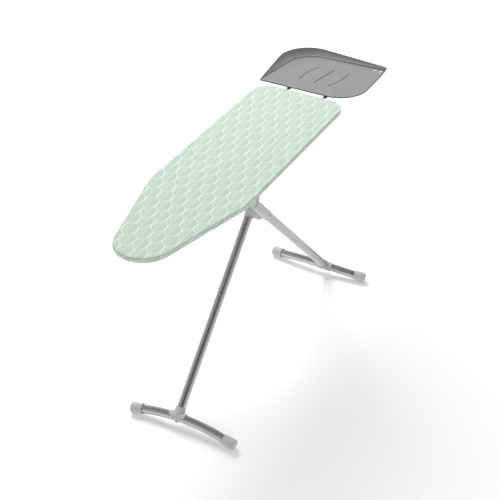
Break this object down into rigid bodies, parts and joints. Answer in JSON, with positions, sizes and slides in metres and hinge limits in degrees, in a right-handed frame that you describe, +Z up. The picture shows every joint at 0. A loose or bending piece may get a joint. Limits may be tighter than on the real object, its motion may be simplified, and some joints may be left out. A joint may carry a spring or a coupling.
{
  "type": "ironing board",
  "caption": "Folding ironing board with a padded mesh top, a printed cover, scissor T-legs, a sliding carriage with release lever and a pull-off iron rest.",
  "frame": {"origin": "on the floor, under the middle of the whole length and width", "axes": "+X from the nose to the tail and iron rest, +Y across the board, away from the release lever, +Z up"},
  "size_m": [1.594, 0.4504, 0.9905],
  "materials": {
    "cover_fabric": "mint green printed cotton",
    "felt": "pale needle felt",
    "mesh_steel": "satin grey",
    "frame_paint": "satin light grey",
    "zinc": "zinc plated",
    "bright_steel": "bright",
    "black_plastic": "fine texture",
    "tube_grey": "satin metallic grey",
    "leg_b_grey": "satin light grey",
    "joint_plastic": "fine texture",
    "washer_plastic": "smooth",
    "lever_steel": "satin",
    "rubber": "matt",
    "tray_grey": "satin grey"
  },
  "bodies": {
    "board": {"cover": "cover_fabric", "padding": "felt", "mesh_top": "mesh_steel", "rim": "frame_paint", "brace_nose": "frame_paint", "brace_mid": "frame_paint", "brace_tail": "frame_paint", "brace_end": "frame_paint", "hinge_bracket": "zinc", "hinge_pin": "bright_steel", "bracket_rivets": "bright_steel", "rail_outer": "zinc", "rail_inner": "zinc", "rail_rivets": "bright_steel", "rest_socket_near": "black_plastic", "rest_socket_far": "black_plastic"},
    "iron_rest": {"iron_rest_tray": "tray_grey", "rest_rods": "lever_steel", "rest_clips": "black_plastic"},
    "leg_a": {"leg_a_tube": "tube_grey", "leg_a_plug": "black_plastic", "pivot_housing": "joint_plastic", "pivot_washer": "washer_plastic", "pivot_bolt": "bright_steel", "pivot_nut": "bright_steel", "front_foot_tube": "tube_grey", "front_cap_near": "joint_plastic", "front_cap_far": "joint_plastic", "front_saddle": "joint_plastic", "front_saddle_screw": "bright_steel"},
    "leg_b": {"leg_b_profile": "leg_b_grey", "pivot_sleeve": "joint_plastic", "rear_foot_tube": "tube_grey", "rear_cap_near": "joint_plastic", "rear_cap_far": "joint_plastic", "rear_saddle": "joint_plastic", "rear_saddle_screw": "bright_steel"},
    "carriage": {"carriage": "black_plastic", "carriage_pin": "bright_steel", "lever_pin": "bright_steel"},
    "lever": {"release_lever": "lever_steel", "lever_grip": "black_plastic", "brake_shoe": "rubber", "lever_spring": "bright_steel"}
  },
  "joints": [
    {"name": "fold", "type": "hinge", "parent": "board", "child": "leg_a", "pos_m": [0.35039, 0.029, 0.912], "axis": [0, 1, 0], "range_deg": [0, 46]},
    {"name": "scissor", "type": "hinge", "parent": "leg_a", "child": "leg_b", "pos_m": [0.08, 0, 0.632], "axis": [0, 1, 0], "range_deg": [-92, 0]},
    {"name": "carriage_hinge", "type": "hinge", "parent": "leg_b", "child": "carriage", "pos_m": [-0.19039, -0.038, 0.912], "axis": [0, 1, 0], "range_deg": [0, 46]},
    {"name": "lever_squeeze", "type": "hinge", "parent": "carriage", "child": "lever", "pos_m": [-0.24839, -0.038, 0.892], "axis": [-1, 0, 0], "range_deg": [0, 10], "stiffness_Nm_per_rad": 2, "springref_deg": -8.59},
    {"name": "rest_pull", "type": "slide", "parent": "board", "child": "iron_rest", "axis": [1, 0, 0], "range_m": [0, 0.1]}
  ],
  "couplings": [
    {"joint": "scissor", "follows": "fold", "ratio": -2},
    {"joint": "carriage_hinge", "follows": "fold", "ratio": 1}
  ]
}
